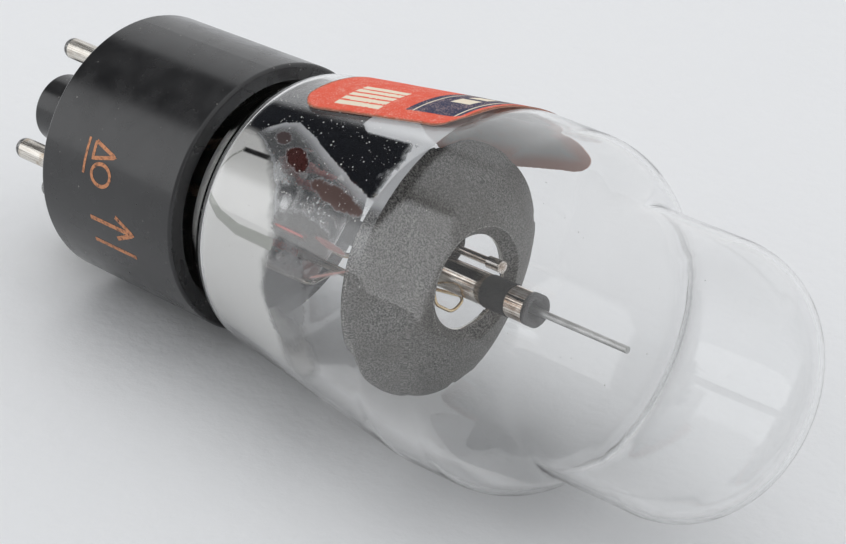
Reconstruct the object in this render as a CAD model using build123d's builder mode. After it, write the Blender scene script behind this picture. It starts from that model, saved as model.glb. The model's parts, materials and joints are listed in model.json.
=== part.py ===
"""Cold-cathode gas relay tube: shouldered glass bulb on a six-pin octal base.

The tube lies along X. The origin is on the tube's axis, in the plane of the base shell's end face that
rests on a socket. +X runs along the axis towards the dome, and the contact pins point along -X.
An angle round the axis is measured from +Y towards +Z. All sizes are in millimetres.
"""

from build123d import *
from math import cos, radians, sin, sqrt
import os

os.makedirs("parts", exist_ok=True)

# Base shell and locating key
shell_length = 21.3
foot_radius = 14.65
rim_radius = 15.0
shell_bore_radius = 13.2
shell_floor = 3.0
edge_round = 0.4
key_radius = 3.93
key_length = 14.2
key_bore_radius = 2.7
key_end_wall = 1.3
key_ridge_width = 1.4
key_ridge_height = 0.9
key_ridge_end_gap = 1.5

# Octal pin positions: eight places 45 degrees apart, numbered clockwise seen from the pins
pin_circle_radius = 17.45 / 2
pin_radius = 1.18
pin_root_radius = 1.35
pin_length = 11.1
pin_bore_radius = 0.75
pin_head_radius = 1.7
pin_head_height = 0.4
pin_pitch = 45.0
pin_1_angle = 277.5
key_ridge_angle = pin_1_angle - pin_pitch / 2
fitted_pins = (1, 2, 3, 5, 7, 8)
cathode_pin, anode_pin, starter_pin = 2, 5, 7
solder_depth = 2.0
cement_start, cement_end = 10.0, 20.1
cement_slant = 0.6
pin_mouth = -pin_length + pin_radius

# Bulb: the outline's corners, with a rounding at each
glass_wall = 0.9
neck_start = 9.0
neck_radius = 12.4
throat_x = 21.6
waist_x, waist_radius = 26.0, 15.25
belly_start_x, belly_end_x, belly_radius = 53.0, 63.9, 19.1
shoulder_x = 67.87
dome_radius = 14.4
dome_end = 90.2
corner_rounds = [3.0, 3.5, 10.0, 9.0, 4.0, 9.5]

# Glass stem
flare_thickness = 1.0
flare_rise = 8.0
flare_inner_x, flare_inner_radius = 13.0, 6.6
flare_outer_x, flare_outer_radius = 12.4, 5.8
flare_rim_radius = 11.8
flare_lean = (0.3, -1)
stem_tube_radius = 6.0
stem_tube_top = 23.0
press_start = 25.5
press_top = 31.5
press_width = 13.0
press_thickness = 3.6
press_angle = 50.0
press_top_round = 0.8
exhaust_radius = 2.0
exhaust_bore_radius = 1.1
exhaust_tip = -11.6
tip_taper = 3.0

# Wires through the press, placed across its width
seal_radius = 0.4
lead_radius = 0.3
lead_clearance = 3.4
lead_straight, lead_crossing_end = 1.1, 3.5
lead_spread_start, lead_spread_end = 8.0, 5.2
lead_bends = [0.6, 0.8, 1.5, 1.5]
cathode_place, starter_place, anode_place, dummy_place = -4.3, -2.6, 2.6, 4.3
seal_start, seal_end = 23.0, 29.0

# Cathode disc
disc_radius = 13.75
disc_edge_x = 46.6
disc_thickness = 0.5
ridge_radius, ridge_x = 6.4, 51.3
hole_radius, hole_x = 5.15, 50.2
support_spread = 9.0
support_bend_start, support_bend_end, support_top = 40.0, 45.0, 49.2
dish_radius = 30.0
chip_radius = 0.7
edge_chips = [(7, 0.3), (-9, 0.45), (-13, 0.3), (-67, 0.4), (-85, 0.3)]

# Starter sleeve, its insulator and the anode wire
sleeve_radius = 1.7
sleeve_wall = 0.3
sleeve_start, sleeve_end = 37.0, 60.2
coating_start, coating_end = 53.4, 56.8
coating_thickness = 0.08
insulator_end = 58.6
insulator_start = 33.5
anode_radius = 0.38
anode_tip = 72.0
brace_radius = 0.45
brace_y, brace_z = 2.8, 1.4
brace_start, brace_end = 38.5, 52.3
crimp_radius, crimp_length = 0.65, 1.8
clamp_x, clamp_width, clamp_margin = 43.6, 1.2, 0.35
starter_bend_start, starter_bend_end, starter_weld_end = 34.0, 36.5, 43.2
hairpin_radius = 0.18
hairpin_start, hairpin_end = 40.5, 44.0
hairpin_bends = [1.2, 0.6, 1.2, 1.5, 0.8]
anode_bend_start, anode_bend_end = 31.9, 32.9
anode_slip = 0.05

# Getter
getter_cup_radius = 2.4
getter_cup_x, getter_cup_offset = 28.0, 9.5
getter_cup_depth, getter_cup_wall = 1.0, 0.2
getter_angle = 160.0
getter_wire_x, getter_root_radius = 33.4, 4.87
getter_reach = 4.5
film_thickness, film_gap = 0.05, 0.01
film_start, film_end = 28.2, 40.0
film_centre_angle = 145.0
film_sweep = 170.0

# Paper label
label_thickness = 0.12
label_start, label_end = 30.0, 52.2
label_angle = 62.0
label_width = 26.0
label_corner = 3.5


def on_axis(x):
    """The plane across the tube's axis at x, with its local x along +Y and its local y along +Z."""
    return Plane(origin=(x, 0, 0), x_dir=(0, 1, 0), z_dir=(1, 0, 0))


def polar(radius, angle):
    """(y, z) of a point at a radius and an angle round the tube's axis."""
    return radius * cos(radians(angle)), radius * sin(radians(angle))


def half_plane(angle):
    """The plane through the tube's axis at an angle: local x is +X, local y points outwards."""
    outwards = Vector(0, *polar(1, angle))
    return Plane(origin=(0, 0, 0), x_dir=(1, 0, 0), z_dir=Vector(1, 0, 0).cross(outwards))


def beside(radius, angle, shift):
    """(y, z) of a point at a radius and an angle, then moved sideways at right angles to that radius."""
    y, z = polar(radius, angle)
    side_y, side_z = polar(shift, angle + 90)
    return y + side_y, z + side_z


def pin_plane(number):
    """The plane through a pin's axis: local x is +X, local y is the distance from that axis."""
    return Plane(origin=(0, *polar(pin_circle_radius, pin_angle(number))), x_dir=(1, 0, 0), z_dir=(0, -1, 0))


def pin_axis(number):
    return Axis((0, *polar(pin_circle_radius, pin_angle(number))), (1, 0, 0))


def across_press(place):
    """(y, z) of a wire at a place across the width of the press."""
    return polar(place, press_angle)


def pin_angle(number):
    return pin_1_angle + (number - 1) * pin_pitch


def wire(points, bends, radius):
    """A round wire along straight runs joined by tangent arcs."""
    with BuildPart() as made:
        with BuildLine() as path:
            FilletPolyline(*points, radius=bends)
        with BuildSketch(Plane(origin=path.line @ 0, z_dir=path.line % 0)):
            Circle(radius)
        sweep(path=path.line)
    return made.part


def save(part, name):
    part.label = name
    export_step(part, f"parts/{name}.step")
    print(f"{name:24s} {part.volume:10.2f} mm3  {len(part.solids())} solid")


# ---------------------------------------------------------------- base shell with its hollow key
with BuildPart() as base_shell:
    with BuildSketch(Plane.XZ):
        with BuildLine():
            Polyline(
                (0, 0), (0, foot_radius), (shell_length, rim_radius),
                (shell_length, shell_bore_radius), (shell_floor, shell_bore_radius), (shell_floor, 0),
                close=True,
            )
        make_face()
    revolve(axis=Axis.X)
    with BuildSketch(on_axis(0)):
        Circle(key_radius)
    extrude(amount=-key_length)
    with BuildSketch(Plane(origin=(0, 0, 0), x_dir=(0, *polar(1, key_ridge_angle)), z_dir=(1, 0, 0))):
        with Locations((key_radius, 0)):
            Rectangle(2 * key_ridge_height, key_ridge_width)
    extrude(amount=-(key_length - key_ridge_end_gap))
    rim_edges = base_shell.edges().filter_by(GeomType.CIRCLE).filter_by(lambda e: e.radius > shell_bore_radius)
    fillet(rim_edges, edge_round)
    key_end = base_shell.faces().sort_by(Axis.X)[0]
    fillet(key_end.edges(), edge_round)
    with BuildSketch(on_axis(shell_floor)):
        Circle(key_bore_radius)
    extrude(amount=-(shell_floor + key_length - key_end_wall), mode=Mode.SUBTRACT)
    with BuildSketch(on_axis(0)):
        with Locations(*[polar(pin_circle_radius, pin_angle(n)) for n in fitted_pins]):
            Circle(pin_root_radius)
    extrude(amount=shell_floor, mode=Mode.SUBTRACT)
save(base_shell.part, "base_shell")

# ---------------------------------------------------------------- contact pins, hollow, one node each
for number in fitted_pins:
    with BuildPart() as contact_pin:
        with BuildSketch(pin_plane(number)):
            with BuildLine():
                Polyline(
                    (pin_mouth, pin_bore_radius), (pin_mouth, pin_radius), (0, pin_radius),
                    (0, pin_root_radius), (shell_floor, pin_root_radius), (shell_floor, pin_head_radius),
                    (shell_floor + pin_head_height, pin_head_radius),
                    (shell_floor + pin_head_height, pin_bore_radius),
                    close=True,
                )
            make_face()
        revolve(axis=pin_axis(number))
    save(contact_pin.part, f"pin_{number}")

# ---------------------------------------------------------------- solder in the pins' tips, a rounded plug each
with BuildPart() as pin_solder:
    for number in fitted_pins:
        with BuildSketch(pin_plane(number)):
            with BuildLine():
                Polyline(
                    (-pin_length, 0), (pin_mouth + solder_depth, 0), (pin_mouth + solder_depth, pin_bore_radius),
                    (pin_mouth, pin_bore_radius), (pin_mouth, pin_radius),
                )
                CenterArc((pin_mouth, 0), pin_radius, start_angle=90, arc_size=90)
            make_face()
        revolve(axis=pin_axis(number))
save(pin_solder.part, "pin_solder")

# ---------------------------------------------------------------- cement between the shell and the neck
with BuildPart() as base_cement:
    with BuildSketch(Plane.XZ):
        with BuildLine():
            Polyline(
                (cement_start, neck_radius), (cement_start + cement_slant, shell_bore_radius),
                (cement_end, shell_bore_radius), (cement_end - cement_slant, neck_radius),
                close=True,
            )
        make_face()
    revolve(axis=Axis.X)
save(base_cement.part, "base_cement")

# ---------------------------------------------------------------- bulb
outline = [
    (neck_start, neck_radius), (throat_x, neck_radius), (waist_x, waist_radius),
    (belly_start_x, belly_radius), (belly_end_x, belly_radius), (shoulder_x, dome_radius),
    (dome_end, dome_radius), (dome_end, 0),
]
with BuildPart() as bulb:
    with BuildSketch(Plane.XZ):
        with BuildLine():
            FilletPolyline(*outline, radius=corner_rounds)
            Polyline((dome_end, 0), (neck_start, 0), (neck_start, neck_radius))
        make_face()
    revolve(axis=Axis.X)
    offset(amount=-glass_wall, openings=bulb.faces().sort_by(Axis.X)[0])
save(bulb.part, "bulb")

# ---------------------------------------------------------------- stem: flare, press and exhaust tube
with BuildPart() as stem_flare:
    with BuildSketch(Plane.XZ):
        with BuildLine():
            inner = Spline(
                (neck_start, neck_radius - glass_wall), (flare_inner_x, flare_inner_radius),
                (neck_start + flare_rise, stem_tube_radius), tangents=(flare_lean, (1, 0)),
            )
            outer = Spline(
                (neck_start - flare_thickness, flare_rim_radius), (flare_outer_x, flare_outer_radius),
                (neck_start + flare_rise, stem_tube_radius - flare_thickness), tangents=(flare_lean, (1, 0)),
            )
            Polyline(
                inner @ 1, (stem_tube_top, stem_tube_radius),
                (stem_tube_top, stem_tube_radius - flare_thickness), outer @ 1,
            )
            Polyline(outer @ 0, (neck_start - flare_thickness, neck_radius), (neck_start, neck_radius), inner @ 0)
        make_face()
    revolve(axis=Axis.X)
save(stem_flare.part, "stem_flare")

wire_places = (cathode_place, starter_place, anode_place, dummy_place)
with BuildPart() as stem_press:
    with BuildSketch(on_axis(stem_tube_top)):
        Circle(stem_tube_radius)
    press_plane = Plane(origin=(press_start, 0, 0), x_dir=(0, *polar(1, press_angle)), z_dir=(1, 0, 0))
    with BuildSketch(press_plane):
        SlotOverall(press_width, press_thickness)
    loft()
    with BuildSketch(press_plane):
        SlotOverall(press_width, press_thickness)
    extrude(amount=press_top - press_start)
    fillet(stem_press.faces().sort_by(Axis.X)[-1].edges(), press_top_round)
    with BuildSketch(on_axis(stem_tube_top)):
        with Locations(*[across_press(place) for place in wire_places]):
            Circle(seal_radius)
    extrude(amount=press_top - stem_tube_top, mode=Mode.SUBTRACT)
save(stem_press.part, "stem_press")

with BuildPart() as exhaust_tube:
    with BuildSketch(Plane.XZ):
        with BuildLine():
            Polyline(
                (stem_tube_top, exhaust_bore_radius), (stem_tube_top, exhaust_radius),
                (exhaust_tip + tip_taper, exhaust_radius),
            )
            EllipticalCenterArc(
                (exhaust_tip + tip_taper, 0), tip_taper, exhaust_radius, start_angle=90, arc_size=90
            )
            Polyline(
                (exhaust_tip, 0), (exhaust_tip + tip_taper, 0), (exhaust_tip + tip_taper + 1, exhaust_bore_radius),
                (stem_tube_top, exhaust_bore_radius),
            )
        make_face()
    revolve(axis=Axis.X)
save(exhaust_tube.part, "exhaust_tube")

# ---------------------------------------------------------------- red seals: copper-clad wire in the glass
with BuildPart() as lead_seals:
    with BuildSketch(on_axis(seal_start)):
        with Locations(*[across_press(place) for place in wire_places]):
            Circle(seal_radius)
    extrude(amount=seal_end - seal_start)
save(lead_seals.part, "lead_seals")

# ---------------------------------------------------------------- outer leads down to three of the pins
for name, place, number in (
    ("cathode_lead", cathode_place, cathode_pin),
    ("starter_lead", starter_place, starter_pin),
    ("anode_lead", anode_place, anode_pin),
):
    angle = pin_angle(number)
    route = [
        (seal_start, *across_press(place)), (seal_start - lead_straight, *across_press(place)),
        (seal_start - lead_crossing_end, *polar(lead_clearance, angle)),
        (lead_spread_start, *polar(lead_clearance, angle)), (lead_spread_end, *polar(pin_circle_radius, angle)),
        (pin_mouth + solder_depth, *polar(pin_circle_radius, angle)),
    ]
    save(wire(route, lead_bends, lead_radius), name)

# ---------------------------------------------------------------- cathode disc, dished, with a raised ridge
with BuildPart() as cathode_disc:
    with BuildSketch(Plane.XZ):
        with BuildLine():
            face_arc = RadiusArc((disc_edge_x, disc_radius), (ridge_x, ridge_radius), dish_radius)
            back_arc = RadiusArc(
                (ridge_x - disc_thickness, ridge_radius), (disc_edge_x - disc_thickness, disc_radius), -dish_radius
            )
            Polyline(
                face_arc @ 1, (hole_x, hole_radius), (hole_x - disc_thickness, hole_radius), back_arc @ 0
            )
            Line(back_arc @ 1, face_arc @ 0)
        make_face()
    revolve(axis=Axis.X)
    with BuildSketch(on_axis(disc_edge_x + 1)):
        for angle, depth in edge_chips:
            with Locations(polar(disc_radius + chip_radius - depth, angle)):
                Circle(chip_radius)
    extrude(amount=-3, mode=Mode.SUBTRACT)
save(cathode_disc.part, "cathode_disc")

# ---------------------------------------------------------------- disc supports, from the press to the disc's back
for side, name in ((1, "disc_support_right"), (-1, "disc_support_left")):
    inner_point = across_press(side * dummy_place)
    outer_point = across_press(side * support_spread)
    route = [
        (seal_end, *inner_point), (support_bend_start, *inner_point),
        (support_bend_end, *outer_point), (support_top, *outer_point),
    ]
    save(wire(route, [2.0, 2.0], seal_radius), name)

# ---------------------------------------------------------------- starter sleeve, its wire and its dark coating
with BuildPart() as starter_sleeve:
    with BuildSketch(on_axis(sleeve_start)):
        Circle(sleeve_radius)
        Circle(sleeve_radius - sleeve_wall, mode=Mode.SUBTRACT)
    extrude(amount=sleeve_end - sleeve_start)
    fillet(starter_sleeve.faces().sort_by(Axis.X)[-1].edges(), sleeve_wall / 3)
save(starter_sleeve.part, "starter_sleeve")

with BuildPart() as sleeve_coating:
    with BuildSketch(on_axis(coating_start)):
        Circle(sleeve_radius + coating_thickness)
        Circle(sleeve_radius, mode=Mode.SUBTRACT)
    extrude(amount=coating_end - coating_start)
save(sleeve_coating.part, "sleeve_coating")

starter_side = polar(sleeve_radius + lead_radius, press_angle + 180)
starter_rise = [
    (seal_end, *across_press(starter_place)), (starter_bend_start, *across_press(starter_place)),
    (starter_bend_end, *starter_side), (starter_weld_end, *starter_side),
]
save(wire(starter_rise, [1.5, 1.5], lead_radius), "starter_wire")

hairpin_weld = polar(sleeve_radius + 2 * lead_radius + hairpin_radius, press_angle + 180)
hairpin_route = [
    (hairpin_start, *hairpin_weld), (46.0, *hairpin_weld), (48.6, *polar(3.75, 178)), (49.0, *polar(4.05, 205)),
    (49.0, *polar(3.7, 252)), (49.0, *polar(2.67, 290)), (hairpin_end, *polar(2.5, 262)),
]
save(wire(hairpin_route, hairpin_bends, hairpin_radius), "starter_hairpin")

# ---------------------------------------------------------------- glass insulator and anode wire
with BuildPart() as anode_insulator:
    with BuildSketch(on_axis(insulator_start)):
        Circle(sleeve_radius - sleeve_wall)
        Circle(anode_radius + anode_slip, mode=Mode.SUBTRACT)
    extrude(amount=insulator_end - insulator_start)
save(anode_insulator.part, "anode_insulator")

anode_route = [
    (seal_end, *across_press(anode_place)), (anode_bend_start, *across_press(anode_place)),
    (anode_bend_end, 0, 0), (anode_tip, 0, 0),
]
save(wire(anode_route, [0.5, 0.5], anode_radius), "anode_wire")

# ---------------------------------------------------------------- brace rod beside the sleeve, crimped at its end
with BuildPart() as brace_rod:
    with BuildSketch(on_axis(brace_start)):
        with Locations((brace_y, brace_z)):
            Circle(brace_radius)
    extrude(amount=brace_end - brace_start)
save(brace_rod.part, "brace_rod")

with BuildPart() as brace_crimp:
    with BuildSketch(on_axis(brace_end - crimp_length)):
        with Locations((brace_y, brace_z)):
            Circle(crimp_radius)
            Circle(brace_radius, mode=Mode.SUBTRACT)
    extrude(amount=crimp_length)
save(brace_crimp.part, "brace_crimp")

brace_reach = Vector(brace_y, brace_z).length
with BuildPart() as sleeve_clamp:
    with BuildSketch(Plane(origin=(clamp_x, 0, 0), x_dir=(0, brace_y, brace_z), z_dir=(1, 0, 0))):
        with Locations((brace_reach / 2, 0)):
            SlotOverall(brace_reach + 2 * clamp_margin + 2 * sleeve_radius, 2 * (sleeve_radius + clamp_margin))
        Circle(sleeve_radius, mode=Mode.SUBTRACT)
        with Locations((brace_reach, 0)):
            Circle(brace_radius, mode=Mode.SUBTRACT)
    extrude(amount=clamp_width)
save(sleeve_clamp.part, "sleeve_clamp")

# ---------------------------------------------------------------- getter: cup on a wire, and the mirror it left
getter_weld_radius = getter_cup_offset - lead_radius
getter_route = [
    (getter_wire_x, *polar(getter_root_radius, press_angle + 180)), (getter_wire_x, *polar(7.2, 214)),
    (getter_cup_x, *beside(getter_weld_radius, getter_angle, getter_reach)),
    (getter_cup_x, *polar(getter_weld_radius, getter_angle)),
]
save(wire(getter_route, [1.5, 1.5], lead_radius), "getter_wire")

cup_y, cup_z = polar(getter_cup_offset, getter_angle)
with BuildPart() as getter_cup:
    with BuildSketch(Plane(origin=(getter_cup_x, cup_y, cup_z), x_dir=(1, 0, 0), z_dir=(0, *polar(1, getter_angle)))):
        Circle(getter_cup_radius)
    extrude(amount=getter_cup_depth)
    offset(amount=-getter_cup_wall, openings=getter_cup.faces().filter_by(GeomType.PLANE).sort_by(
        Axis((0, 0, 0), (0, *polar(1, getter_angle))))[-1])
save(getter_cup.part, "getter_cup")

belly_slope = (belly_radius - waist_radius) / (belly_start_x - waist_x)


def glass_radius(x, depth=0.0):
    """Radius of the bulb's conical stretch at x, at a depth below its outer surface."""
    return waist_radius + belly_slope * (x - waist_x) - depth * sqrt(1 + belly_slope**2)


film_top = glass_wall + film_gap
with BuildPart() as getter_film:
    with BuildSketch(half_plane(film_centre_angle - film_sweep / 2)):
        with BuildLine():
            Polyline(
                (film_start, glass_radius(film_start, film_top)), (film_end, glass_radius(film_end, film_top)),
                (film_end, glass_radius(film_end, film_top + film_thickness)),
                (film_start, glass_radius(film_start, film_top + film_thickness)),
                close=True,
            )
        make_face()
    revolve(axis=Axis.X, revolution_arc=film_sweep)
save(getter_film.part, "getter_film")

# ---------------------------------------------------------------- paper label, with round corners
with BuildPart() as paper_label:
    with BuildSketch(Plane.XZ):
        with BuildLine():
            Polyline(
                (label_start - 1, glass_radius(label_start - 1)), (label_end, glass_radius(label_end)),
                (label_end, glass_radius(label_end, -label_thickness)),
                (label_start - 1, glass_radius(label_start - 1, -label_thickness)),
                close=True,
            )
        make_face()
    revolve(axis=Axis.X)
    label_plane = Plane(
        origin=((label_start + label_end) / 2, 0, 0), x_dir=(1, 0, 0), z_dir=(0, *polar(1, label_angle))
    )
    with BuildSketch(label_plane):
        RectangleRounded(label_end - label_start, label_width, label_corner)
    extrude(amount=2 * belly_radius, mode=Mode.INTERSECT)
save(paper_label.part, "paper_label")
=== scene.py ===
import json
import math
import random

import bmesh
import bpy
import numpy as np
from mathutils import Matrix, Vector, noise


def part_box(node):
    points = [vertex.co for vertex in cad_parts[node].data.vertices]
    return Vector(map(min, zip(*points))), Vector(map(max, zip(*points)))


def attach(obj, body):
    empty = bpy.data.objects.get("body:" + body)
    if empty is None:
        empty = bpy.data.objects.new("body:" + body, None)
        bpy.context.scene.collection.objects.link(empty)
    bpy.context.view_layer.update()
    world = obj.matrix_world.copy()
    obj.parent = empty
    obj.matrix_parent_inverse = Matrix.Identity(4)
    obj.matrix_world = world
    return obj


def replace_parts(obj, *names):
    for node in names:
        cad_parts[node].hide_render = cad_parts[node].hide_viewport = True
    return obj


# A shouldered gas relay tube lying on pale paper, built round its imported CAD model.
# The tube's axis is X, with +X towards the dome. An angle round the axis is measured from +Y towards +Z.
# Sizes are in millimetres, and MM turns them into Blender's metres.
MM = 0.001

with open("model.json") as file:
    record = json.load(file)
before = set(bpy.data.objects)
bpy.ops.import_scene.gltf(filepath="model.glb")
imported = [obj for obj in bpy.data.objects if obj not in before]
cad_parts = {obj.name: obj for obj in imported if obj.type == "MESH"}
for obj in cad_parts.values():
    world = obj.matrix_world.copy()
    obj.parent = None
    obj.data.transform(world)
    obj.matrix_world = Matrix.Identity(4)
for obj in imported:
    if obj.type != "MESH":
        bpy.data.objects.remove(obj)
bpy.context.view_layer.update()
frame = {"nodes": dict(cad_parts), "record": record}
nodes = frame["nodes"]


def high(node, axis):
    """The highest coordinate of a CAD node along an axis (0, 1 or 2), in mm."""
    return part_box(node)[1][axis] / MM


def low(node, axis):
    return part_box(node)[0][axis] / MM


# Sizes read from the frame
BELLY_RADIUS = high("bulb", 2)
DOME_END = high("bulb", 0)
NECK_START = low("bulb", 0)
SHELL_LENGTH = high("base_shell", 0)
RIM_RADIUS = high("base_shell", 2)
DISC_RADIUS = -low("cathode_disc", 1)
LABEL_END = high("paper_label", 0)

# Sizes repeated from the CAD model's source, apart from two:
# the glass is 0.6 thick where the CAD wall is 0.9, and the shoulder's two corners, the fourth and the fifth
# of CORNER_ROUNDS, have radii of 8.0 and 5.2 where the CAD has 9.0 and 4.0
FOOT_RADIUS = 14.65
GLASS_WALL = 0.6
NECK_RADIUS = 12.4
WAIST_X, WAIST_RADIUS = 26.0, 15.25
BELLY_START = 53.0
DOME_RADIUS = 14.4
OUTLINE = [
    (NECK_START, NECK_RADIUS), (21.6, NECK_RADIUS), (WAIST_X, WAIST_RADIUS), (BELLY_START, BELLY_RADIUS),
    (63.9, BELLY_RADIUS), (67.87, DOME_RADIUS), (DOME_END, DOME_RADIUS), (DOME_END, 0.0),
]
CORNER_ROUNDS = [3.0, 3.5, 10.0, 8.0, 5.2, 9.5]
PRESS_ANGLE = 50.0
LABEL_ANGLE = 62.0
LABEL_START = 30.0
LABEL_WIDTH = 26.0
LABEL_CORNER = 3.5
LABEL_THICKNESS = 0.12


# ---------------------------------------------------------------- small helpers
def polar(radius, angle):
    """(y, z) of a point at a radius and an angle round the tube's axis."""
    return radius * math.cos(math.radians(angle)), radius * math.sin(math.radians(angle))


def smooth(low_end, high_end, value):
    """0 below low_end, 1 above high_end, with a smooth step between them."""
    t = min(max((value - low_end) / (high_end - low_end), 0.0), 1.0)
    return t * t * (3 - 2 * t)


def follow(points, value):
    """The second number of a list of pairs, interpolated at a value of the first."""
    firsts, seconds = zip(*points)
    return float(np.interp(value, firsts, seconds))


def ripple(x, y, z, size):
    """Smooth noise between about -1 and 1, with features of a size in mm."""
    return noise.noise(Vector((x / size, y / size, z / size)))


def rounded(corners, radii):
    """A polyline with an arc at each inner corner, as closely spaced (x, r) points."""
    points = [corners[0]]
    for before, corner, after, radius in zip(corners, corners[1:], corners[2:], radii):
        c = Vector(corner)
        to_before = (Vector(before) - c).normalized()
        to_after = (Vector(after) - c).normalized()
        half = to_before.angle(to_after) / 2
        start = c + to_before * (radius / math.tan(half))
        centre = c + (to_before + to_after).normalized() * (radius / math.sin(half))
        turn = math.pi - 2 * half
        side = 1.0 if to_before.cross(to_after) < 0 else -1.0
        arm = start - centre
        steps = max(6, int(math.degrees(turn) / 4))
        for k in range(steps + 1):
            angle = side * turn * k / steps
            points.append((
                centre.x + arm.x * math.cos(angle) - arm.y * math.sin(angle),
                centre.y + arm.x * math.sin(angle) + arm.y * math.cos(angle),
            ))
    points.append(corners[-1])
    return points


def spaced(points, step):
    """The same polyline with its points spread evenly, about step apart."""
    pts = np.array(points)
    along = np.concatenate([[0], np.cumsum(np.hypot(*np.diff(pts, axis=0).T))])
    places = np.linspace(0, along[-1], int(along[-1] / step) + 1)
    return np.stack([np.interp(places, along, pts[:, 0]), np.interp(places, along, pts[:, 1])], axis=1)


glass_profile = spaced(rounded(OUTLINE, CORNER_ROUNDS), 0.5)


def glass_radius(x):
    """The bulb's outer radius at x."""
    side = glass_profile[: np.argmax(glass_profile[:, 0] > DOME_END - 0.3)]
    return float(np.interp(x, side[:, 0], side[:, 1]))


def add_object(name, data):
    made = bpy.data.objects.new(name, data)
    bpy.context.scene.collection.objects.link(made)
    return made


def add_mesh(name, points, faces, material, smooth_shading=True):
    """A mesh piece made of points in mm, riding with the tube."""
    mesh = bpy.data.meshes.new(name)
    mesh.from_pydata([tuple(c * MM for c in p) for p in points], [], faces)
    mesh.validate()
    mesh.update()
    if smooth_shading:
        mesh.shade_smooth()
    piece = add_object(name, mesh)
    mesh.materials.append(material)
    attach(piece, "root")
    return piece


def grid_faces(rows, columns, closed=False, start=0):
    """Quads joining rows of points; closed joins each row's last point to its first."""
    faces = []
    for i in range(rows - 1):
        for j in range(columns if closed else columns - 1):
            k = (j + 1) % columns
            a, b = start + i * columns + j, start + i * columns + k
            faces.append((a, b, b + columns, a + columns))
    return faces


def join_ends(rows, columns):
    """Quads joining the last row of points to the first, where rows are closed rings."""
    last = (rows - 1) * columns
    return [(last + j, last + (j + 1) % columns, (j + 1) % columns, j) for j in range(columns)]


def set_numbers(piece, name, values):
    """A number on each point of a mesh, for its material to read."""
    attribute = piece.data.attributes.new(name, "FLOAT", "POINT")
    attribute.data.foreach_set("value", np.array(values, np.float32))


def set_colours(piece, name, values):
    attribute = piece.data.attributes.new(name, "FLOAT_COLOR", "POINT")
    rows = np.ones((len(values), 4), np.float32)
    rows[:, :3] = values
    attribute.data.foreach_set("color", rows.ravel())


# ---------------------------------------------------------------- building materials
class Nodes:
    """Short ways to add and join the nodes of a material or a world."""

    def __init__(self, tree):
        self.tree = tree

    def add(self, kind, **settings):
        made = self.tree.nodes.new(kind)
        for key, value in settings.items():
            setattr(made, key, value)
        return made

    def join(self, output, node, socket):
        self.tree.links.new(output, node.inputs[socket])

    def math(self, operation, a, b=0.0):
        made = self.add("ShaderNodeMath", operation=operation)
        for socket, value in zip(made.inputs, (a, b)):
            if isinstance(value, float):
                socket.default_value = value
            else:
                self.tree.links.new(value, socket)
        return made.outputs["Value"]


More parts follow.
